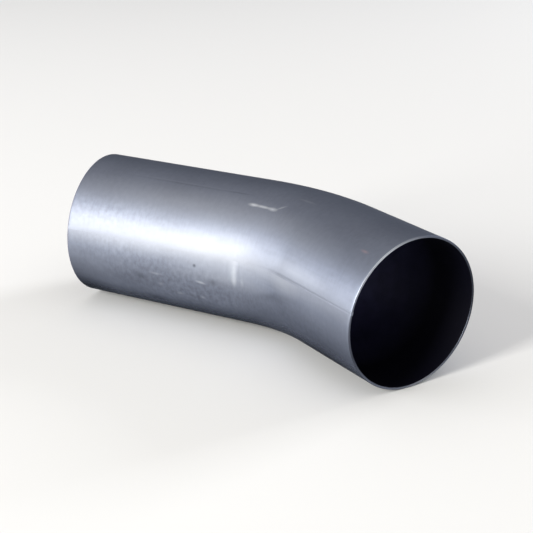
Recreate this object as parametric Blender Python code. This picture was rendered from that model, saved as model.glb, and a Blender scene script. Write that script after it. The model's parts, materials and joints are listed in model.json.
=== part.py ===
"""Flue elbow: a thin welded steel tube, mandrel bent through a shallow angle, with plain square-cut ends.

Two pieces make it. The wall is one strip rolled round until its edges nearly meet, and the seam weld closes
the gap between those edges from end to end. Each is a flat section drawn at the inlet, run along the inlet
leg, turned round the bend and run along the outlet leg. The bend then thins the wall on its outer side,
thickens it on its inner side and flattens the outer side a little, as bending over a mandrel does.

Girth angles go round the tube from the outer side of the bend, over the top, to its inner side. Depths go
from the tube's outer face towards its centreline. Metres and radians, +Z up.
"""

import math

import bmesh
import bpy
from mathutils import Vector

# Tube and bend
OUTSIDE_DIAMETER = 0.1016
WALL = 0.0015
BEND_ANGLE = math.radians(30.0)
BEND_RADIUS = 0.127  # to the centreline, one and a quarter diameters
INLET_LEG = 0.132
OUTLET_LEG = 0.076

# What bending over a mandrel does to the wall
STRETCH_TAKEN_BY_WALL = 0.5  # share of the lengthwise stretch that comes out of the wall's thickness
FLATTENING = 0.0008  # how far the outer side of the bend draws in
BEND_RUN_IN = math.radians(8.0)  # angle over which the bend's section takes over from a leg's

# Seam weld
SEAM_ANGLE = math.radians(168.0)
WELD_WIDTH = 0.0024
ROOT_BEAD_WIDTH = 0.0044
ROOT_BEAD_HEIGHT = 0.0007
CLEARANCE = 0.0003  # between the weld and the strip's edges and inner face

# Fineness of the round shapes
GIRTH_STEPS = 72
BEND_STEPS = 10
WELD_STEPS = 2
ROOT_BEAD_STEPS = 6
SHARP_ANGLE = math.radians(40.0)

OUTER_RADIUS = OUTSIDE_DIAMETER / 2
BEND_CENTRE = Vector((0.0, -BEND_RADIUS, 0.0))
OUTLET_DIRECTION = Vector((math.cos(BEND_ANGLE), -math.sin(BEND_ANGLE), 0.0))

STEEL_COLOUR = (0.30, 0.31, 0.36, 1.0)
STEEL_ROUGHNESS = 0.45
WELD_COLOUR = (0.36, 0.37, 0.41, 1.0)
WELD_ROUGHNESS = 0.4


def clear_scene():
    """Removes every object that the file opened with."""
    for obj in list(bpy.data.objects):
        bpy.data.objects.remove(obj)


def steel(name, colour, roughness):
    """Returns a bare steel material."""
    material = bpy.data.materials.new(name)
    material.use_nodes = True
    shader = material.node_tree.nodes["Principled BSDF"]
    shader.inputs["Base Color"].default_value = colour
    shader.inputs["Metallic"].default_value = 1.0
    shader.inputs["Roughness"].default_value = roughness
    return material


def girth_point(angle, depth):
    """Returns the point of the inlet's section at a girth angle and a depth below the outer face."""
    radius = OUTER_RADIUS - depth
    return Vector((-INLET_LEG, radius * math.cos(angle), radius * math.sin(angle)))


def girth_arc(start, end, depth, steps):
    """Returns the points of an arc round the tube, both ends included."""
    return [girth_point(start + (end - start) * i / steps, depth) for i in range(steps + 1)]


def wall_section():
    """Returns the outline of the rolled strip: a ring that is open at the seam."""
    half_slot = (WELD_WIDTH / 2 + CLEARANCE) / OUTER_RADIUS
    start = SEAM_ANGLE + half_slot
    end = SEAM_ANGLE - half_slot + math.tau
    return girth_arc(start, end, 0.0, GIRTH_STEPS) + girth_arc(end, start, WALL, GIRTH_STEPS)


def weld_section():
    """Returns the outline of the weld: dressed flush outside, with a rounded bead standing in at its root."""
    half_weld = WELD_WIDTH / 2 / OUTER_RADIUS
    half_bead = ROOT_BEAD_WIDTH / 2 / OUTER_RADIUS
    root = WALL + CLEARANCE
    neck_start = girth_point(SEAM_ANGLE - half_weld, root)
    neck_end = girth_point(SEAM_ANGLE + half_weld, root)
    face = girth_arc(SEAM_ANGLE - half_weld, SEAM_ANGLE + half_weld, 0.0, WELD_STEPS)
    bead = []
    for i in range(ROOT_BEAD_STEPS + 1):
        across = 1 - 2 * i / ROOT_BEAD_STEPS
        crown = ROOT_BEAD_HEIGHT * math.cos(across * math.pi / 2)
        bead.append(girth_point(SEAM_ANGLE + across * half_bead, root + crown))
    return face + [neck_end] + bead + [neck_start]


def extrude(bm, face, travel):
    """Runs a section straight on by a travel vector and returns its new end face."""
    grown = bmesh.ops.extrude_face_region(bm, geom=[face])["geom"]
    bmesh.ops.translate(bm, vec=travel, verts=[g for g in grown if isinstance(g, bmesh.types.BMVert)])
    return next(g for g in grown if isinstance(g, bmesh.types.BMFace))


def turn(bm, face):
    """Turns a section round the bend and returns its new end face."""
    turned = bmesh.ops.spin(
        bm, geom=[face], cent=BEND_CENTRE, axis=(0.0, 0.0, -1.0), angle=BEND_ANGLE, steps=BEND_STEPS
    )
    return next(g for g in turned["geom_last"] if isinstance(g, bmesh.types.BMFace))


def ease(x):
    """Returns a smooth step from 0 to 1."""
    x = min(max(x, 0.0), 1.0)
    return x * x * (3 - 2 * x)


def form_bend(bm):
    """Moves the bend's points in and out to the section that bending over a mandrel leaves."""
    for vert in bm.verts:
        arm = vert.co - BEND_CENTRE
        turned = math.atan2(arm.x, arm.y)
        share = ease(turned / BEND_RUN_IN) * ease((BEND_ANGLE - turned) / BEND_RUN_IN)
        if share == 0.0:
            continue
        outward = math.hypot(arm.x, arm.y) - BEND_RADIUS
        girth = math.atan2(arm.z, outward)
        depth = OUTER_RADIUS - math.hypot(outward, arm.z)
        stretch = 1 + OUTER_RADIUS / BEND_RADIUS * math.cos(girth) * share
        thickness = stretch**-STRETCH_TAKEN_BY_WALL
        drawn_in = FLATTENING * max(math.cos(girth), 0.0) ** 2 * share
        formed_depth = drawn_in + min(depth, WALL) * thickness + max(depth - WALL, 0.0)
        radius = OUTER_RADIUS - formed_depth
        reach = BEND_RADIUS + radius * math.cos(girth)
        formed = Vector((reach * math.sin(turned), reach * math.cos(turned), radius * math.sin(girth)))
        vert.co = BEND_CENTRE + formed


def bent_piece(name, section, material, datum, collection):
    """Makes one piece of the elbow from its section at the inlet and hangs it on the datum."""
    bm = bmesh.new()
    inlet_face = bm.faces.new([bm.verts.new(point) for point in section])
    bend_start = extrude(bm, inlet_face, Vector((INLET_LEG, 0.0, 0.0)))
    bend_end = turn(bm, bend_start)
    extrude(bm, bend_end, OUTLET_DIRECTION * OUTLET_LEG)
    bmesh.ops.delete(bm, geom=[bend_start, bend_end], context="FACES_ONLY")
    form_bend(bm)
    bmesh.ops.recalc_face_normals(bm, faces=bm.faces)
    mesh = bpy.data.meshes.new(name)
    bm.to_mesh(mesh)
    bm.free()
    mesh.materials.append(material)
    mesh.shade_smooth()
    mesh.set_sharp_from_angle(angle=SHARP_ANGLE)
    obj = bpy.data.objects.new(name, mesh)
    obj.parent = datum
    collection.objects.link(obj)
    return obj


def elbow_datum(collection):
    """Returns an empty at the bend's start on the centreline, set so that the elbow lies centred on the ground."""
    outlet = OUTLET_DIRECTION * OUTLET_LEG + Vector(
        (BEND_RADIUS * math.sin(BEND_ANGLE), BEND_RADIUS * (math.cos(BEND_ANGLE) - 1), 0.0)
    )
    far_x = outlet.x + OUTER_RADIUS * math.sin(BEND_ANGLE)
    low_y = outlet.y - OUTER_RADIUS * math.cos(BEND_ANGLE)
    datum = bpy.data.objects.new("bend_start", None)
    datum.location = ((INLET_LEG - far_x) / 2, -(OUTER_RADIUS + low_y) / 2, OUTER_RADIUS)
    collection.objects.link(datum)
    return datum


def main():
    """Builds the elbow's two pieces on one datum."""
    clear_scene()
    collection = bpy.data.collections.new("flue_elbow")
    bpy.context.scene.collection.children.link(collection)
    datum = elbow_datum(collection)
    wall_steel = steel("mill_finish_steel", STEEL_COLOUR, STEEL_ROUGHNESS)
    weld_steel = steel("dressed_weld_steel", WELD_COLOUR, WELD_ROUGHNESS)
    bent_piece("tube_wall", wall_section(), wall_steel, datum, collection)
    bent_piece("seam_weld", weld_section(), weld_steel, datum, collection)


main()
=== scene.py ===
"""Dresses the flue elbow: a bare steel tube bend with its seam weld, on a pale floor in soft light.

Every piece is placed by two numbers on the tube: the run, which is the distance along the centreline
from the inlet, and the girth, which is the angle round the tube from the outer side of the bend, over the
top, to its inner side. Metres and radians, +Z up.
"""

import json
import logging
import math
from collections.abc import Sequence
from dataclasses import dataclass
from enum import Enum, IntEnum

import bmesh
import bpy
import numpy as np
from mathutils import Matrix, Vector


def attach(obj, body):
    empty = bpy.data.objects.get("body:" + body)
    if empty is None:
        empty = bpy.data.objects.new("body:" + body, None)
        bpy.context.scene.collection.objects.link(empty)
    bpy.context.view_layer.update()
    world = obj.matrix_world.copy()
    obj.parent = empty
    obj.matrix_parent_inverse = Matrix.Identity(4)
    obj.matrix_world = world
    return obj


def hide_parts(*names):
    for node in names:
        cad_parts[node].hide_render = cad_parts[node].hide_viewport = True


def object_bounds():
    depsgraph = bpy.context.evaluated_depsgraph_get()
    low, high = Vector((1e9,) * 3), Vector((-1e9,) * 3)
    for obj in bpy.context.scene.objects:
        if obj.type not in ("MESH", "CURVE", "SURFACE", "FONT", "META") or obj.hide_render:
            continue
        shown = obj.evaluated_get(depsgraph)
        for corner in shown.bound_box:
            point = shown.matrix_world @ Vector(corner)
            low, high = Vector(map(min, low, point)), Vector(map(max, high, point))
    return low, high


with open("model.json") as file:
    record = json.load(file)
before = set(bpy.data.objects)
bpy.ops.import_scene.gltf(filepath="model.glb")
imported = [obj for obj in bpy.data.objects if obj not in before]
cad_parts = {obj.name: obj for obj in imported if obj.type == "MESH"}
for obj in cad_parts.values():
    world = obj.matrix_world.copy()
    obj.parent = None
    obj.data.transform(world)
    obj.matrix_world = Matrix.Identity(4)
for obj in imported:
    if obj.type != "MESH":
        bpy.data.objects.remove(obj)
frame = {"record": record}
CAD_BOX = [list(corner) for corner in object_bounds()]

LOG = logging.getLogger("flue_elbow")
BODY = "root"
FLAT_MAP = "run_and_girth"
MM = 0.001
MERGE = 0.01 * MM
NOISE_MIDDLE = 0.5
# A Mix node's colour sockets share their names with its other sockets, so they go by place.
MIX_A, MIX_B, MIX_RESULT = 6, 7, 2
NodeInput = float | tuple | bpy.types.NodeSocket


def linear(hex_colour: str) -> tuple[float, float, float, float]:
    """Turns an sRGB hex colour into linear light.

    Args:
        hex_colour: A hash and six hex digits.

    Returns:
        The linear red, green and blue, and an alpha of one.
    """
    channels = [int(hex_colour[i : i + 2], 16) / 255 for i in (1, 3, 5)]
    # The sRGB curve: a straight foot near black, and a power law above it.
    red, green, blue = (c / 12.92 if c <= 0.04045 else ((c + 0.055) / 1.055) ** 2.4 for c in channels)
    return red, green, blue, 1.0


def add_node(
    tree: bpy.types.NodeTree,
    kind: str,
    inputs: dict[str | int, NodeInput] | None = None,
    **settings: object,
) -> bpy.types.Node:
    """Adds a node with its settings, and fills its sockets with values or links.

    Args:
        tree: The node tree that the node joins.
        kind: The node's type name.
        inputs: Socket names or places, each with a value or with the output that feeds it.
        **settings: The node's own properties.

    Returns:
        The new node.
    """
    node = tree.nodes.new(kind)
    for name, value in settings.items():
        setattr(node, name, value)
    for name, value in (inputs or {}).items():
        if isinstance(value, bpy.types.NodeSocket):
            tree.links.new(value, node.inputs[name])
        else:
            node.inputs[name].default_value = value
    return node


def new_tree(name: str) -> tuple[bpy.types.Material, bpy.types.NodeTree]:
    """Makes an empty material.

    Args:
        name: The finish's name.

    Returns:
        The material and its node tree.
    """
    material = bpy.data.materials.new(name)
    material.use_nodes = True
    material.node_tree.nodes.clear()
    return material, material.node_tree


def ease(x: float) -> float:
    """Returns a smooth step from 0 to 1 as x goes from 0 to 1."""
    x = min(max(x, 0.0), 1.0)
    return x * x * (3 - 2 * x)


class TubeFace(IntEnum):
    """The material slots of a piece of tube, in order."""

    OUTSIDE = 0
    INSIDE = 1
    CUT_END = 2


@dataclass(frozen=True)
class TubeRoute:
    """The elbow's centreline and wall: a straight inlet leg, a level bend and a straight outlet leg."""

    # A hair under the tube's real 50.8 mm, so that this round wall stays inside the frame's faceted one.
    radius: float = 0.05076
    centre_height: float = 0.0508
    wall: float = 0.0015
    inlet_leg: float = 0.132
    bend_radius: float = 0.127
    bend_angle: float = math.radians(30.0)
    outlet_leg: float = 0.076
    seam_girth: float = math.radians(168.0)
    stretch_taken_by_wall: float = 0.5
    flattening: float = 0.0008
    bend_run_in: float = math.radians(8.0)

    @property
    def inlet(self) -> Vector:
        """The centre of the inlet's rim, straight below the frame's mount on that rim."""
        mount = next(m for m in frame["record"]["mounts"] if m["name"] == "inlet_end")
        return Vector((CAD_BOX[0][0], mount["pos_m"][1], self.centre_height))

    @property
    def bend_start(self) -> Vector:
        """The centreline's point where the bend starts."""
        return self.inlet + Vector((self.inlet_leg, 0.0, 0.0))

    @property
    def bend_centre(self) -> Vector:
        """The point that the bend turns about."""
        return self.bend_start - Vector((0.0, self.bend_radius, 0.0))

    @property
    def length(self) -> float:
        """The whole length along the centreline."""
        return self.inlet_leg + self.bend_radius * self.bend_angle + self.outlet_leg

    @property
    def outlet_direction(self) -> Vector:
        """The direction of the outlet leg."""
        return Vector((math.cos(self.bend_angle), -math.sin(self.bend_angle), 0.0))

    def locate(self, point: Vector) -> tuple[float, float, float]:
        """Finds where a point lies on the tube.

        Args:
            point: A point on or in the tube's wall.

        Returns:
            The point's run, its girth and its depth below the plain tube's outer face.
        """
        arm = point - self.bend_centre
        turned = min(max(math.atan2(arm.x, arm.y), 0.0), self.bend_angle)
        outward = Vector((math.sin(turned), math.cos(turned), 0.0))
        onward = Vector((math.cos(turned), -math.sin(turned), 0.0))
        offset = arm - self.bend_radius * outward
        run = self.inlet_leg + self.bend_radius * turned + offset.dot(onward)
        across = offset.dot(outward)
        return run, math.atan2(offset.z, across), self.radius - math.hypot(across, offset.z)

    def place(self, run: float, girth: float, depth: float) -> Vector:
        """Finds the point at a place on the tube.

        Args:
            run: The point's run.
            girth: The point's girth.
            depth: The point's depth below the plain tube's outer face.

        Returns:
            The point.
        """
        turned = min(max((run - self.inlet_leg) / self.bend_radius, 0.0), self.bend_angle)
        onward = Vector((math.cos(turned), -math.sin(turned), 0.0))
        past = run - self.inlet_leg - self.bend_radius * turned
        radius = self.radius - depth
        reach = self.bend_radius + radius * math.cos(girth)
        arm = Vector((reach * math.sin(turned), reach * math.cos(turned), radius * math.sin(girth)))
        return self.bend_centre + arm + past * onward

    def bend_share(self, run: float) -> float:
        """Returns how far the bend's formed section has taken over at a run."""
        turned = (run - self.inlet_leg) / self.bend_radius
        return ease(turned / self.bend_run_in) * ease((self.bend_angle - turned) / self.bend_run_in)

    def thickness(self, run: float, girth: float) -> float:
        """Returns the wall's thickness: less on the outer side of the bend, more on its inner side."""
        stretch = 1 + self.radius / self.bend_radius * math.cos(girth) * self.bend_share(run)
        return self.wall * stretch**-self.stretch_taken_by_wall

    def drawn_in(self, run: float, girth: float) -> float:
        """Returns how far the outer side of the bend has flattened."""
        return self.flattening * max(math.cos(girth), 0.0) ** 2 * self.bend_share(run)

    def flat_spot(self, run: float, girth: float, cut: float) -> tuple[float, float]:
        """Returns a point's place on the wall laid flat, which is cut open at a girth."""
        return run, self.radius * ((girth - cut) % math.tau + cut)


class MarkKind(Enum):
    """The colour that a mark lays on the steel: real wear and stains, and also painted highlight and
    painted shade.
    """

    # Painted highlight: a neutral grey along the gleam, so that it reads white.
    PAINTED_WHITE_GLEAM = "#85878c"
    # Real rubs and scratches, and also painted highlight.
    RUB_AND_PAINTED_HIGHLIGHT = "#d8dde7"
    # Real stains, and also painted shade.
    STAIN_AND_PAINTED_SHADE = "#3c3f49"
    # Darker along the underside.
    UNDERSIDE_DARKENING = "#17181d"
    RUSTED = "#b29ea6"


@dataclass(frozen=True, kw_only=True)
class Patch:
    """A soft-edged oval on the tube, in millimetres and degrees."""

    run: float
    girth: float
    length: float
    width: float
    strength: float
    slant: float = 0.0


@dataclass(frozen=True, kw_only=True)
class Mark(Patch):
    """A patch where something has happened to the steel, or where light or shade is painted."""

    kind: MarkKind


@dataclass(frozen=True)
class SandedSteel:
    """Bare mild steel tube, sanded round its girth after it was bent.

    The eye sees a dull bluish grey that takes a soft, broad gleam, fine lines round the tube, a speckle
    where the steel has been handled, and a few rubs and stains, with painted highlight and painted shade
    laid on as marks. Sizes are in millimetres.
    """

    name: str
    marks: tuple[Mark, ...] = ()
    scuffs: tuple[Patch, ...] = ()
    drags: tuple[Patch, ...] = ()
    dark: str = "#676b79"
    light: str = "#929aac"
    # Dull steel loses its shine where it is seen edge on.
    grazing: str = "#555555"
    roughness: float = 0.515
    roughness_swing: float = 0.06
    relief_strength: float = 0.1
    relief_depth: float = 0.1
    # The real lines are a tenth of a millimetre apart, and are drawn coarser so that they show.
    line_spacing: float = 0.8
    line_length: float = 30.0
    speckle: float = 3.1
    speckle_length: float = 4.0
    cloud: float = 32.0
    drag_spacing: float = 2.2
    drag_length: float = 40.0
    line_contrast: float = 0.16
    speckle_contrast: float = 0.3
    cloud_contrast: float = 0.35
    middle_tone: float = 0.5
    # The speckle mixes more sizes of grain than the other patterns do.
    plain_detail: float = 2.0
    speckle_detail: float = 5.0

    def pattern(
        self, tree: bpy.types.NodeTree, along: float, around: float, detail: float
    ) -> bpy.types.NodeSocket:
        """Adds a noise whose grains have a real size on the wall laid flat.

        Args:
            tree: The material's nodes.
            along: The grain's size along the tube, in millimetres.
            around: The grain's size round the tube, in millimetres.
            detail: How many times finer grains are laid over the grains.

        Returns:
            The noise, which goes evenly below and above 0.
        """
        flat = add_node(tree, "ShaderNodeUVMap", uv_map=FLAT_MAP).outputs["UV"]
        scale = (1 / (along * MM), 1 / (around * MM), 1.0)
        spot = add_node(tree, "ShaderNodeMapping", {"Vector": flat, "Scale": scale}).outputs["Vector"]
        grain = {"Vector": spot, "Scale": 1.0, "Detail": detail}
        noise = add_node(tree, "ShaderNodeTexNoise", grain).outputs["Fac"]
        level = add_node(tree, "ShaderNodeMath", {0: noise, 1: NOISE_MIDDLE}, operation="SUBTRACT")
        return level.outputs["Value"]

    def spots(
        self,
        tree: bpy.types.NodeTree,
        patches: Sequence[Patch],
        route: TubeRoute,
        elsewhere: float = 0.0,
    ) -> bpy.types.NodeSocket | float:
        """Adds up soft-edged ovals on the wall laid flat.

        Args:
            tree: The material's nodes.
            patches: The ovals.
            route: The tube that they lie on.
            elsewhere: The factor away from the ovals.

        Returns:
            The factor.
        """
        flat = add_node(tree, "ShaderNodeUVMap", uv_map=FLAT_MAP).outputs["UV"]
        total = elsewhere
        cut = route.seam_girth - math.tau
        for patch in patches:
            run, around = route.flat_spot(patch.run * MM, math.radians(patch.girth), cut)
            inside = add_node(
                tree,
                "ShaderNodeMapping",
                {
                    "Vector": flat,
                    "Location": (run, around, 0.0),
                    "Rotation": (0.0, 0.0, math.radians(patch.slant)),
                    "Scale": (patch.length / 2 * MM, patch.width / 2 * MM, 1.0),
                },
                vector_type="TEXTURE",
            ).outputs["Vector"]
            oval = add_node(
                tree, "ShaderNodeTexGradient", {"Vector": inside}, gradient_type="SPHERICAL"
            ).outputs["Fac"]
            total = add_node(
                tree, "ShaderNodeMath", {0: oval, 1: patch.strength, 2: total}, operation="MULTIPLY_ADD"
            ).outputs["Value"]
        return total

    def tone(self, tree: bpy.types.NodeTree, route: TubeRoute) -> bpy.types.NodeSocket:
        """Adds up the sanding lines, the clouds, the speckle and the drag lines.

        Args:
            tree: The material's nodes.
            route: The tube that they lie on.

        Returns:
            A factor from the dark steel, 0, to the light steel, 1.
        """
        total = self.middle_tone
        speckle_contrast = self.spots(tree, self.scuffs, route, self.speckle_contrast)
        drag_contrast = self.spots(tree, self.drags, route)
        for along, around, detail, contrast in (
            (self.line_spacing, self.line_length, self.plain_detail, self.line_contrast),
            (self.cloud, self.cloud, self.plain_detail, self.cloud_contrast),
            (self.speckle, self.speckle_length, self.speckle_detail, speckle_contrast),
            (self.drag_length, self.drag_spacing, self.plain_detail, drag_contrast),
        ):
            noise = self.pattern(tree, along, around, detail)
            total = add_node(
                tree, "ShaderNodeMath", {0: noise, 1: contrast, 2: total}, operation="MULTIPLY_ADD"
            ).outputs["Value"]
        return total

    def build(self, route: TubeRoute) -> bpy.types.Material:
        """Makes the material.

        Args:
            route: The tube that the marks lie on.

        Returns:
            The material.
        """
        material, tree = new_tree(self.name)
        tone = self.tone(tree, route)
        base = add_node(
            tree,
            "ShaderNodeMix",
            {"Factor": tone, MIX_A: linear(self.dark), MIX_B: linear(self.light)},
            data_type="RGBA",
        ).outputs[MIX_RESULT]
        for kind in MarkKind:
            marks = [mark for mark in self.marks if mark.kind is kind]
            # Some marks are real wear and stains, and some are painted highlight and painted shade.
            if marks:
                mark_share = self.spots(tree, marks, route)
                base = add_node(
                    tree,
                    "ShaderNodeMix",
                    {"Factor": mark_share, MIX_A: base, MIX_B: linear(kind.value)},
                    data_type="RGBA",
                ).outputs[MIX_RESULT]
        # The lighter steel is the smoother.
        rough = add_node(
            tree,
            "ShaderNodeMapRange",
            {
                "Value": tone,
                "To Min": self.roughness + self.roughness_swing,
                "To Max": self.roughness - self.roughness_swing,
            },
        ).outputs["Result"]
        relief = add_node(
            tree,
            "ShaderNodeBump",
            {"Height": tone, "Strength": self.relief_strength, "Distance": self.relief_depth * MM},
        ).outputs["Normal"]
        shader = add_node(
            tree,
            "ShaderNodeBsdfPrincipled",
            {
                "Base Color": base,
                "Metallic": 1.0,
                "Specular Tint": linear(self.grazing),
                "Roughness": rough,
                "Normal": relief,
            },
            distribution="GGX",
        )
        add_node(tree, "ShaderNodeOutputMaterial", {"Surface": shader.outputs["BSDF"]})
        return material


@dataclass(frozen=True)
class NearBlackInside:
    """The dull blue-black inner face of the tube, darker towards the outlet.

    The eye sees almost nothing but black. Sizes are in millimetres.
    """

    name: str = "blue_black_inner_face"
    outlet_black: str = "#060610"
    dark: str = "#262640"
    light: str = "#4a4a70"
    roughness: float = 0.6
    shine: float = 0.08
    blotch: float = 14.0
    blotch_detail: float = 5.0
    outlet_black_start: float = 175.0
    outlet_black_end: float = 240.0

    def build(self) -> bpy.types.Material:
        """Makes the material for the tube's inner face.

        Returns:
            The material.
        """
        material, tree = new_tree(self.name)
        where = add_node(tree, "ShaderNodeTexCoord").outputs["Object"]
        blotch = add_node(
            tree,
            "ShaderNodeTexNoise",
            {"Vector": where, "Scale": 1 / (self.blotch * MM), "Detail": self.blotch_detail},
        ).outputs["Fac"]
        scale = add_node(
            tree,
            "ShaderNodeMix",
            {"Factor": blotch, MIX_A: linear(self.dark), MIX_B: linear(self.light)},
            data_type="RGBA",
        ).outputs[MIX_RESULT]
        flat = add_node(tree, "ShaderNodeUVMap", uv_map=FLAT_MAP).outputs["UV"]
        run = add_node(tree, "ShaderNodeSeparateXYZ", {"Vector": flat}).outputs["X"]
        # Darker towards the outlet.
        towards_outlet = add_node(
            tree,
            "ShaderNodeMapRange",
            {"Value": run, "From Min": self.outlet_black_start * MM, "From Max": self.outlet_black_end * MM},
        ).outputs["Result"]
        base = add_node(
            tree,
            "ShaderNodeMix",
            {"Factor": towards_outlet, MIX_A: scale, MIX_B: linear(self.outlet_black)},
            data_type="RGBA",
        ).outputs[MIX_RESULT]
        shader = add_node(
            tree,
            "ShaderNodeBsdfPrincipled",
            {"Base Color": base, "Roughness": self.roughness, "Specular IOR Level": self.shine},
        )
        add_node(tree, "ShaderNodeOutputMaterial", {"Surface": shader.outputs["BSDF"]})
        return material


@dataclass
class SweptPiece:
    """A piece made by running a section along the tube's route."""

    route: TubeRoute
    name: str
    node: str
    slot: str
    leg_step: float
    bend_steps: int
    edge_break: float = 0.0005
    edge_steps: int = 3

    def add_ring(self, points: int) -> bpy.types.Object:
        """Adds a ring of points round the inlet's rim, the first on the seam, and goes into edit mode.

        Args:
            points: How many points the ring has.

        Returns:
            The new object, which sits at the origin.
        """
        bpy.ops.object.select_all(action="DESELECT")
        turn = Matrix.Rotation(self.route.seam_girth, 3, "X") @ Matrix.Rotation(math.pi / 2, 3, "Y")
        bpy.ops.mesh.primitive_circle_add(
            vertices=points,
            radius=self.route.radius,
            location=self.route.inlet,
            rotation=turn.to_euler(),
        )
        bpy.ops.object.transform_apply(location=True, rotation=True, scale=True)
        piece = bpy.context.object
        piece.name = piece.data.name = self.name
        bpy.ops.object.mode_set(mode="EDIT")
        return piece

    def run_straight(self, travel: Vector) -> None:
        """Extrudes the selected section along a leg, in steps.

        Args:
            travel: The leg's direction and length.
        """
        steps = max(1, round(travel.length / self.leg_step))
        for _ in range(steps):
            bpy.ops.mesh.extrude_region_move(TRANSFORM_OT_translate={"value": travel / steps})

    def sweep(self) -> None:
        """Runs the selected section along the inlet leg, round the bend and along the outlet leg."""
        route = self.route
        self.run_straight(Vector((route.inlet_leg, 0.0, 0.0)))
        bpy.ops.mesh.spin(
            steps=self.bend_steps, angle=route.bend_angle, center=route.bend_centre, axis=(0.0, 0.0, 1.0)
        )
        self.run_straight(route.outlet_direction * route.outlet_leg)
        bpy.ops.mesh.select_all(action="SELECT")
        bpy.ops.mesh.remove_doubles(threshold=MERGE)
        bpy.ops.mesh.normals_make_consistent(inside=False)

    def round_edge(self, piece: bpy.types.Object, rim: float, outer: bool, face: TubeFace) -> None:
        """Bevels one round edge of a cut end.

        Args:
            piece: The piece.
            rim: The run of the cut end.
            outer: Whether the edge is on the wall's outer side.
            face: The finish that the rounding gets.
        """
        bpy.ops.object.mode_set(mode="EDIT")
        bpy.ops.mesh.select_all(action="DESELECT")
        bpy.ops.mesh.select_mode(type="EDGE")
        mesh = bmesh.from_edit_mesh(piece.data)
        on_edge = set()
        for vert in mesh.verts:
            run, _, depth = self.route.locate(vert.co)
            if abs(run - rim) < MERGE and (depth < self.route.wall / 2) == outer:
                on_edge.add(vert)
        for edge in mesh.edges:
            edge.select = on_edge.issuperset(edge.verts)
        bpy.ops.mesh.bevel(
            offset=self.edge_break, segments=self.edge_steps, affect="EDGES", material=face
        )
        bpy.ops.object.mode_set(mode="OBJECT")

    def lay_flat_map(self, piece: bpy.types.Object, cut: float) -> None:
        """Gives a piece a map in metres: the run one way and the girth's length the other.

        Args:
            piece: The piece to map.
            cut: The girth where the map is cut open.
        """
        mesh = piece.data
        spots = np.zeros((len(mesh.vertices), 2), np.float32)
        for vertex in mesh.vertices:
            run, girth, _ = self.route.locate(vertex.co)
            spots[vertex.index] = self.route.flat_spot(run, girth, cut)
        corners = np.zeros(len(mesh.loops), np.int32)
        mesh.loops.foreach_get("vertex_index", corners)
        for old in list(mesh.uv_layers):
            mesh.uv_layers.remove(old)
        mesh.uv_layers.new(name=FLAT_MAP).data.foreach_set("uv", spots[corners].ravel())

    def hand_over(self, piece: bpy.types.Object) -> None:
        """Ties a finished piece to the frame and logs it.

        Args:
            piece: The piece.
        """
        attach(piece, BODY)
        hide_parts(self.node)
        LOG.info("%s: %d faces, stands for %s", piece.name, len(piece.data.polygons), self.node)


@dataclass
class TubeWall(SweptPiece):
    """The rolled strip, open along the seam, with its cut ends broken."""

    name: str = "elbow_tube"
    node: str = "tube_wall"
    slot: str = "tube_steel"
    leg_step: float = 0.003
    bend_steps: int = 36
    girth_points: int = 266
    smooth_angle: float = math.radians(40.0)

    def build(self, finishes: dict[TubeFace, bpy.types.Material]) -> bpy.types.Object:
        """Models the wall and dresses it.

        Args:
            finishes: The material of each face of the tube.

        Returns:
            The finished wall.
        """
        piece = self.add_ring(self.girth_points)
        self.open_seam(piece)
        self.sweep()
        bpy.ops.object.mode_set(mode="OBJECT")
        for face in TubeFace:
            piece.data.materials.append(finishes[face])
        self.form(piece)
        self.lay_flat_map(piece, self.route.seam_girth - math.tau)
        self.thicken(piece)
        self.break_edges(piece)
        bpy.ops.object.shade_smooth_by_angle(angle=self.smooth_angle)
        self.hand_over(piece)
        return piece

    def open_seam(self, piece: bpy.types.Object) -> None:
        """Takes out the ring's point on the seam and selects the rest.

        Args:
            piece: The ring.
        """
        bpy.ops.mesh.select_all(action="DESELECT")
        ring = bmesh.from_edit_mesh(piece.data)
        seam = self.route.place(0.0, self.route.seam_girth, 0.0)
        min(ring.verts, key=lambda vert: (vert.co - seam).length).select = True
        bpy.ops.mesh.delete(type="VERT")
        bpy.ops.mesh.select_all(action="SELECT")

    def form(self, piece: bpy.types.Object) -> None:
        """Draws the outer side of the bend in, and adds the wall's thickness as a modifier.

        Args:
            piece: The swept sheet.
        """
        route = self.route
        group = piece.vertex_groups.new(name="wall_thickness")
        thickest = route.thickness(route.inlet_leg + route.bend_radius * route.bend_angle / 2, math.pi)
        for vertex in piece.data.vertices:
            run, girth, _ = route.locate(vertex.co)
            vertex.co = route.place(run, girth, route.drawn_in(run, girth))
            group.add([vertex.index], route.thickness(run, girth) / thickest, "REPLACE")
        solid = piece.modifiers.new("wall", "SOLIDIFY")
        solid.thickness = thickest
        # The wall grows inwards from the outer face.
        solid.offset = -1.0
        solid.vertex_group = group.name
        solid.material_offset = TubeFace.INSIDE
        solid.material_offset_rim = TubeFace.CUT_END

    def thicken(self, piece: bpy.types.Object) -> None:
        """Applies the wall's thickness, and gives the strip's two joined edges the inside's finish.

        Args:
            piece: The sheet with its modifier.
        """
        bpy.ops.object.modifier_apply(modifier="wall")
        piece.vertex_groups.clear()
        for polygon in piece.data.polygons:
            run = self.route.locate(polygon.center)[0]
            if polygon.material_index == TubeFace.CUT_END and MERGE < run < self.route.length - MERGE:
                polygon.material_index = TubeFace.INSIDE

    def break_edges(self, piece: bpy.types.Object) -> None:
        """Rounds the four round edges, of which the inlet's outer one is still black from cutting.

        Args:
            piece: The wall.
        """
        self.round_edge(piece, 0.0, outer=True, face=TubeFace.INSIDE)
        self.round_edge(piece, 0.0, outer=False, face=TubeFace.CUT_END)
        for outer in (True, False):
            self.round_edge(piece, self.route.length, outer=outer, face=TubeFace.CUT_END)


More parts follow.
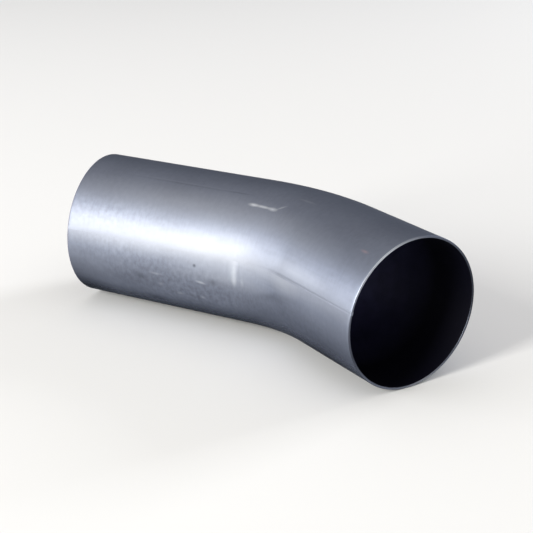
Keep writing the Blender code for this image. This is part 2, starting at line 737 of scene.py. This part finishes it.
@dataclass
class SeamWeld(SweptPiece):
    """The weld that closes the strip's edges: dressed flush outside, a low rippled bead inside."""

    name: str = "seam_weld_strip"
    node: str = "seam_weld"
    slot: str = "weld_metal"
    leg_step: float = 0.0005
    bend_steps: int = 133
    # Less than one step along the leg, so that the rounding's faces keep some width.
    edge_break: float = 0.0004
    width: float = 0.0024
    side_gap: float = 0.00001
    undercut: float = 0.00006
    undercut_start: float = 0.145
    undercut_run_in: float = 0.080
    bead_width: float = 0.0044
    bead_height: float = 0.0009
    ripple_spacing: float = 0.0021
    ripple_height: float = 0.00012
    dressed_end: float = 0.012
    bead_left_at_end: float = 0.1
    face_steps: int = 6
    bead_steps: int = 12
    smooth_angle: float = math.radians(50.0)

    def build(self, finishes: dict[TubeFace, bpy.types.Material]) -> bpy.types.Object:
        """Models the weld and dresses it.

        Args:
            finishes: The material of each face of the weld.

        Returns:
            The finished weld.
        """
        section = self.section()
        piece = self.add_ring(len(section))
        ring = bmesh.from_edit_mesh(piece.data)
        ring.verts.ensure_lookup_table()
        for vert, (girth, depth) in zip(ring.verts, section):
            vert.co = self.route.place(0.0, girth, depth)
        bpy.ops.mesh.select_all(action="SELECT")
        self.sweep()
        self.cap_ends(piece)
        bpy.ops.object.mode_set(mode="OBJECT")
        self.form(piece)
        self.lay_flat_map(piece, self.route.seam_girth - math.pi)
        self.dress(piece, finishes)
        self.round_edge(piece, 0.0, outer=True, face=TubeFace.INSIDE)
        self.round_edge(piece, self.route.length, outer=True, face=TubeFace.CUT_END)
        bpy.ops.object.shade_smooth_by_angle(angle=self.smooth_angle)
        self.hand_over(piece)
        return piece

    def section(self) -> list[tuple[float, float]]:
        """Draws the weld's outline at the inlet.

        Returns:
            The girths and depths of its points, in order.
        """
        route = self.route
        half_face = (self.width / 2 - self.side_gap) / route.radius
        half_bead = self.bead_width / 2 / route.radius
        root = route.wall + self.side_gap
        outline = []
        for i in range(self.face_steps + 1):
            # The face's middle lies a little lower, which draws the line along the weld.
            across = 2 * i / self.face_steps - 1
            outline.append((route.seam_girth + half_face * across, 0.0 if across else self.undercut))
        outline.append((route.seam_girth + half_face, root))
        for i in range(self.bead_steps + 1):
            across = 1 - 2 * i / self.bead_steps
            crown = self.bead_height * math.cos(across * math.pi / 2)
            outline.append((route.seam_girth + across * half_bead, root + crown))
        outline.append((route.seam_girth - half_face, root))
        return outline

    def cap_ends(self, piece: bpy.types.Object) -> None:
        """Closes the weld's two ends.

        Args:
            piece: The swept outline.
        """
        bpy.ops.mesh.select_mode(type="EDGE")
        for rim in (0.0, self.route.length):
            bpy.ops.mesh.select_all(action="DESELECT")
            weld = bmesh.from_edit_mesh(piece.data)
            for edge in weld.edges:
                edge.select = all(abs(self.route.locate(vert.co)[0] - rim) < MERGE for vert in edge.verts)
            bpy.ops.mesh.edge_face_add()
        bpy.ops.mesh.select_all(action="SELECT")
        bpy.ops.mesh.normals_make_consistent(inside=False)

    def form(self, piece: bpy.types.Object) -> None:
        """Follows the bend's changing wall and ripples the bead.

        Args:
            piece: The closed weld.
        """
        route = self.route
        for vertex in piece.data.vertices:
            run, girth, depth = route.locate(vertex.co)
            wall = route.thickness(run, girth)
            within = min(depth, route.wall) * wall / route.wall
            to_end = min(run, route.length - run)
            left = self.bead_left_at_end
            bead = max(depth - route.wall, 0.0) * (left + (1 - left) * ease(to_end / self.dressed_end))
            crown = min(bead / self.bead_height, 1.0)
            ripple = self.ripple_height * crown * math.sin(math.tau * run / self.ripple_spacing)
            if depth < self.undercut + MERGE:
                within *= ease((run - self.undercut_start) / self.undercut_run_in)
            vertex.co = route.place(run, girth, route.drawn_in(run, girth) + within + bead + ripple)

    def dress(self, piece: bpy.types.Object, finishes: dict[TubeFace, bpy.types.Material]) -> None:
        """Gives the weld's face, bead and ends their finishes.

        Args:
            piece: The weld.
            finishes: The material of each face of the weld.
        """
        for face in TubeFace:
            piece.data.materials.append(finishes[face])
        for polygon in piece.data.polygons:
            run, _, depth = self.route.locate(polygon.center)
            if run < MERGE or run > self.route.length - MERGE:
                polygon.material_index = TubeFace.CUT_END
            elif depth > self.route.wall / 2:
                polygon.material_index = TubeFace.INSIDE


class LampPlace(Enum):
    """Where each soft lamp stands, seen from the elbow: degrees round from the front, and degrees up."""

    FRONT = (-20.0, 17.5)
    LEFT = (-58.0, 11.5)
    OVERHEAD = (0.0, 79.0)
    BACK = (152.0, 19.0)


@dataclass(frozen=True, kw_only=True)
class SoftLamp:
    """A soft box: a glowing rectangle that faces the elbow."""

    place: LampPlace
    distance: float
    width: float
    height: float
    brightness: float
    colour: str = "#ffffff"

    def build(self, target: Vector) -> bpy.types.Object:
        """Sets the lamp up.

        Args:
            target: The point that the lamp faces.

        Returns:
            The lamp.
        """
        lamp = bpy.data.lights.new(self.place.name.lower() + "_lamp", "AREA")
        lamp.shape = "RECTANGLE"
        lamp.size = self.width
        lamp.size_y = self.height
        # This power gives a flat lamp the brightness over its whole face.
        lamp.energy = self.brightness * math.pi * self.width * self.height
        lamp.color = linear(self.colour)[:3]
        stand = bpy.data.objects.new(lamp.name, lamp)
        round_from_front, up = (math.radians(angle) for angle in self.place.value)
        front = Vector((0.0, -math.cos(up), math.sin(up)))
        direction = Matrix.Rotation(round_from_front, 3, "Z") @ front
        stand.location = target + direction * self.distance
        stand.rotation_euler = direction.to_track_quat("Z", "Y").to_euler()
        bpy.context.scene.collection.objects.link(stand)
        return stand


@dataclass(frozen=True)
class Studio:
    """The floor, the light and the camera."""

    route: TubeRoute
    floor_side: float = 14.0
    floor_colour: str = "#e7e8ea"
    floor_roughness: float = 0.9
    floor_shine: float = 0.1
    surround: str = "#ffffff"
    surround_brightness: float = 0.42
    azimuth: float = math.radians(25.42)
    elevation: float = math.radians(20.58)
    roll: float = math.radians(1.68)
    lens: float = 81.42
    # The bend's start as the camera sees it: to the right, up, and away.
    bend_start_seen: tuple[float, float, float] = (-0.00083, 0.01016, 0.84655)
    lamps: tuple[SoftLamp, ...] = (
        SoftLamp(
            place=LampPlace.FRONT,
            distance=3.4,
            width=0.75,
            height=2.16,
            brightness=26.8,
            colour="#fffcf2",
        ),
        SoftLamp(place=LampPlace.LEFT, distance=3.6, width=2.6, height=1.2, brightness=7.6),
        SoftLamp(
            place=LampPlace.OVERHEAD,
            distance=2.2,
            width=4.0,
            height=4.0,
            brightness=0.36,
            colour="#fff5ea",
        ),
        SoftLamp(place=LampPlace.BACK, distance=3.4, width=0.9, height=1.8, brightness=12.0),
    )

    def build(self) -> None:
        """Lays the floor, lights the scene and sets the camera up."""
        self.lay_floor()
        self.light_surround()
        for lamp in self.lamps:
            lamp.build(self.route.bend_start)
        self.set_camera()
        bpy.context.scene.view_settings.view_transform = "Standard"

    def lay_floor(self) -> None:
        """Lays a plain pale floor under the elbow."""
        bpy.ops.object.select_all(action="DESELECT")
        bpy.ops.mesh.primitive_plane_add(size=self.floor_side)
        floor = bpy.context.object
        floor.name = "pale_floor"
        material, tree = new_tree("pale_floor_paint")
        shader = add_node(
            tree,
            "ShaderNodeBsdfPrincipled",
            {
                "Base Color": linear(self.floor_colour),
                "Roughness": self.floor_roughness,
                "Specular IOR Level": self.floor_shine,
            },
        )
        add_node(tree, "ShaderNodeOutputMaterial", {"Surface": shader.outputs["BSDF"]})
        floor.data.materials.append(material)

    def light_surround(self) -> None:
        """Gives the room an even glow."""
        world = bpy.data.worlds.new("studio")
        world.use_nodes = True
        glow = world.node_tree.nodes["Background"]
        glow.inputs["Color"].default_value = linear(self.surround)
        glow.inputs["Strength"].default_value = self.surround_brightness
        bpy.context.scene.world = world

    def set_camera(self) -> None:
        """Puts the camera where the elbow looks as it does in the photograph."""
        camera = bpy.data.cameras.new("camera")
        camera.lens = self.lens
        stand = bpy.data.objects.new("camera", camera)
        turn = (
            Matrix.Rotation(self.azimuth, 4, "Z")
            @ Matrix.Rotation(math.pi / 2 - self.elevation, 4, "X")
            @ Matrix.Rotation(self.roll, 4, "Z")
        )
        right, up, away = self.bend_start_seen
        spot = self.route.bend_start - turn @ Vector((right, up, -away))
        stand.matrix_world = Matrix.Translation(spot) @ turn
        bpy.context.scene.collection.objects.link(stand)
        bpy.context.scene.camera = stand


# Painted highlight: the gleam's neutral grey, on the side above the seam.
WHITE_GLEAM_ABOVE_SEAM = Mark(kind=MarkKind.PAINTED_WHITE_GLEAM, run=110.0, girth=167.9, length=560.0, width=40.0, strength=0.6)
MARKS = (
    # A long scratch that ends in a hook.
    Mark(kind=MarkKind.RUB_AND_PAINTED_HIGHLIGHT, run=136.0, girth=122.5, length=11.0, width=4.0, strength=0.75),
    Mark(kind=MarkKind.RUB_AND_PAINTED_HIGHLIGHT, run=143.0, girth=122.6, length=20.0, width=3.2, strength=0.6),
    Mark(kind=MarkKind.RUB_AND_PAINTED_HIGHLIGHT, run=149.0, girth=122.8, length=16.0, width=2.8, strength=0.45),
    Mark(kind=MarkKind.RUB_AND_PAINTED_HIGHLIGHT, run=156.0, girth=122.9, length=11.0, width=4.2, strength=0.7),
    Mark(kind=MarkKind.RUB_AND_PAINTED_HIGHLIGHT, run=162.5, girth=119.4, length=12.0, width=2.4, strength=0.35, slant=-36.0),
    # A rub round the tube where the bending clamp ended.
    Mark(kind=MarkKind.RUB_AND_PAINTED_HIGHLIGHT, run=134.4, girth=178.0, length=12.0, width=26.0, strength=0.16),
    Mark(kind=MarkKind.RUB_AND_PAINTED_HIGHLIGHT, run=134.2, girth=181.0, length=8.0, width=16.0, strength=0.14),
    Mark(kind=MarkKind.RUB_AND_PAINTED_HIGHLIGHT, run=134.8, girth=185.5, length=8.0, width=9.0, strength=0.18),
    Mark(kind=MarkKind.STAIN_AND_PAINTED_SHADE, run=139.8, girth=177.0, length=6.0, width=15.0, strength=0.13),
    Mark(kind=MarkKind.RUB_AND_PAINTED_HIGHLIGHT, run=145.0, girth=185.0, length=6.0, width=9.0, strength=0.1),
    # Faint drawn lines along the top.
    Mark(kind=MarkKind.STAIN_AND_PAINTED_SHADE, run=82.0, girth=113.4, length=116.0, width=2.0, strength=0.16),
    Mark(kind=MarkKind.RUB_AND_PAINTED_HIGHLIGHT, run=76.0, girth=111.7, length=110.0, width=1.8, strength=0.06),
    Mark(kind=MarkKind.STAIN_AND_PAINTED_SHADE, run=121.0, girth=112.8, length=26.0, width=2.0, strength=0.25),
    Mark(kind=MarkKind.RUB_AND_PAINTED_HIGHLIGHT, run=177.0, girth=104.8, length=22.0, width=2.6, strength=0.14),
    # Scuffs and spots on the side.
    Mark(kind=MarkKind.STAIN_AND_PAINTED_SHADE, run=103.2, girth=179.0, length=3.4, width=3.4, strength=0.9),
    Mark(kind=MarkKind.RUB_AND_PAINTED_HIGHLIGHT, run=107.6, girth=192.4, length=9.5, width=2.6, strength=0.5, slant=8.0),
    Mark(kind=MarkKind.RUB_AND_PAINTED_HIGHLIGHT, run=72.0, girth=192.6, length=14.0, width=2.6, strength=0.2),
    Mark(kind=MarkKind.RUB_AND_PAINTED_HIGHLIGHT, run=75.0, girth=202.0, length=6.0, width=4.0, strength=0.2),
    Mark(kind=MarkKind.RUB_AND_PAINTED_HIGHLIGHT, run=89.0, girth=208.5, length=7.0, width=3.5, strength=0.2),
    Mark(kind=MarkKind.RUB_AND_PAINTED_HIGHLIGHT, run=107.0, girth=207.5, length=5.0, width=4.0, strength=0.22),
    Mark(kind=MarkKind.STAIN_AND_PAINTED_SHADE, run=59.0, girth=197.6, length=13.0, width=7.0, strength=0.35),
    Mark(kind=MarkKind.STAIN_AND_PAINTED_SHADE, run=117.5, girth=190.0, length=10.0, width=7.0, strength=0.35),
    Mark(kind=MarkKind.STAIN_AND_PAINTED_SHADE, run=67.0, girth=222.5, length=18.0, width=8.0, strength=0.4),
    Mark(kind=MarkKind.RUSTED, run=259.0, girth=125.0, length=9.0, width=3.0, strength=0.6),
    # Painted highlight and painted reflection on the inner side of the bend and along the outlet's gleam,
    # with a streak of painted shade beside them.
    Mark(kind=MarkKind.RUB_AND_PAINTED_HIGHLIGHT, run=190.0, girth=172.0, length=90.0, width=20.0, strength=0.06),
    Mark(kind=MarkKind.RUB_AND_PAINTED_HIGHLIGHT, run=204.0, girth=173.0, length=40.0, width=26.0, strength=0.14),
    Mark(kind=MarkKind.RUB_AND_PAINTED_HIGHLIGHT, run=200.0, girth=138.0, length=110.0, width=38.0, strength=0.12),
    Mark(kind=MarkKind.RUB_AND_PAINTED_HIGHLIGHT, run=213.0, girth=161.5, length=80.0, width=15.0, strength=0.15),
    Mark(kind=MarkKind.STAIN_AND_PAINTED_SHADE, run=187.0, girth=188.5, length=72.0, width=9.0, strength=0.27, slant=-10.5),
    # Painted highlight: a neutral grey along the gleam, above the seam and below it, so that the gleam
    # reads white.
    WHITE_GLEAM_ABOVE_SEAM,
    Mark(kind=MarkKind.PAINTED_WHITE_GLEAM, run=110.0, girth=168.1, length=560.0, width=24.0, strength=0.6),
    # Painted highlight: a lighter band above the gleam and another below it, which widen the gleam.
    Mark(kind=MarkKind.RUB_AND_PAINTED_HIGHLIGHT, run=85.0, girth=131.0, length=240.0, width=32.0, strength=0.15),
    Mark(kind=MarkKind.RUB_AND_PAINTED_HIGHLIGHT, run=132.0, girth=184.0, length=120.0, width=20.0, strength=0.15),
    # Darker along the underside and the lower side, more so near the two ends.
    Mark(kind=MarkKind.UNDERSIDE_DARKENING, run=137.0, girth=268.0, length=900.0, width=103.0, strength=1.2),
    Mark(kind=MarkKind.STAIN_AND_PAINTED_SHADE, run=0.0, girth=214.0, length=70.0, width=44.0, strength=0.5),
    Mark(kind=MarkKind.STAIN_AND_PAINTED_SHADE, run=2.0, girth=174.0, length=50.0, width=26.0, strength=0.12),
    Mark(kind=MarkKind.STAIN_AND_PAINTED_SHADE, run=262.0, girth=174.0, length=50.0, width=24.0, strength=0.12),
    Mark(kind=MarkKind.STAIN_AND_PAINTED_SHADE, run=250.0, girth=208.0, length=170.0, width=62.0, strength=0.42),
    Mark(kind=MarkKind.STAIN_AND_PAINTED_SHADE, run=166.0, girth=207.0, length=60.0, width=30.0, strength=0.22),
    Mark(kind=MarkKind.STAIN_AND_PAINTED_SHADE, run=50.0, girth=204.0, length=76.0, width=22.0, strength=0.2),
    Mark(kind=MarkKind.UNDERSIDE_DARKENING, run=4.0, girth=228.0, length=60.0, width=34.0, strength=0.35),
    Mark(kind=MarkKind.UNDERSIDE_DARKENING, run=235.0, girth=228.0, length=130.0, width=34.0, strength=0.45),
    # Rubs and stains on the outer side of the bend.
    Mark(kind=MarkKind.RUB_AND_PAINTED_HIGHLIGHT, run=165.0, girth=4.0, length=110.0, width=70.0, strength=0.09),
    Mark(kind=MarkKind.RUB_AND_PAINTED_HIGHLIGHT, run=58.0, girth=34.0, length=26.0, width=2.6, strength=0.35, slant=14.0),
    Mark(kind=MarkKind.RUB_AND_PAINTED_HIGHLIGHT, run=206.0, girth=24.0, length=5.0, width=22.0, strength=0.2),
    Mark(kind=MarkKind.STAIN_AND_PAINTED_SHADE, run=98.0, girth=12.0, length=34.0, width=18.0, strength=0.3),
    Mark(kind=MarkKind.STAIN_AND_PAINTED_SHADE, run=0.0, girth=20.0, length=60.0, width=70.0, strength=0.4),
    Mark(kind=MarkKind.STAIN_AND_PAINTED_SHADE, run=250.0, girth=-14.0, length=80.0, width=40.0, strength=0.35),
)
# Painted highlight on the outlet's cut edge above and below it, and painted shade at its two sides.
EDGE_PAINTED_LIGHT = (
    Mark(kind=MarkKind.RUB_AND_PAINTED_HIGHLIGHT, run=274.5, girth=122.0, length=40.0, width=72.0, strength=0.9),
    Mark(kind=MarkKind.RUB_AND_PAINTED_HIGHLIGHT, run=274.5, girth=-75.0, length=40.0, width=40.0, strength=0.4),
    Mark(kind=MarkKind.STAIN_AND_PAINTED_SHADE, run=274.5, girth=8.0, length=40.0, width=190.0, strength=1.1),
    Mark(kind=MarkKind.STAIN_AND_PAINTED_SHADE, run=274.5, girth=-158.0, length=40.0, width=110.0, strength=0.9),
)
# Where the speckle is stronger.
SCUFFS = (
    Patch(run=98.0, girth=205.0, length=150.0, width=58.0, strength=1.3),
    Patch(run=50.0, girth=180.0, length=150.0, width=46.0, strength=0.7),
    Patch(run=30.0, girth=150.0, length=140.0, width=30.0, strength=0.6),
    Patch(run=215.0, girth=205.0, length=150.0, width=46.0, strength=0.6),
    Patch(run=120.0, girth=10.0, length=340.0, width=90.0, strength=0.6),
)
# Where fine lines run along the tube.
DRAGS = (
    Patch(run=180.0, girth=180.0, length=120.0, width=40.0, strength=0.45),
    Patch(run=215.0, girth=152.0, length=180.0, width=44.0, strength=0.3),
)
WELD_MARKS = (
    # The line along the middle of the dressed weld.
    Mark(kind=MarkKind.STAIN_AND_PAINTED_SHADE, run=252.0, girth=167.99, length=220.0, width=1.0, strength=0.25),
    # The painted white gleam, as on the steel beside it.
    WHITE_GLEAM_ABOVE_SEAM,
)
# The sawn ends are smoother than the sanded steel.
SAWN_ROUGHNESS = 0.42


def main() -> None:
    """Builds the elbow and the studio, and logs each piece's faces."""
    logging.basicConfig(level=logging.INFO, format="%(message)s")
    route = TubeRoute()
    finishes = {
        TubeFace.OUTSIDE: SandedSteel("sanded_mild_steel", MARKS, SCUFFS, DRAGS).build(route),
        TubeFace.INSIDE: NearBlackInside().build(),
        TubeFace.CUT_END: SandedSteel("sawn_mild_steel", EDGE_PAINTED_LIGHT, roughness=SAWN_ROUGHNESS).build(route),
    }
    TubeWall(route).build(finishes)
    weld_face = SandedSteel("dressed_weld_steel", WELD_MARKS, SCUFFS, DRAGS).build(route)
    SeamWeld(route).build(finishes | {TubeFace.OUTSIDE: weld_face})
    Studio(route).build()


if __name__ == "__main__":
    main()
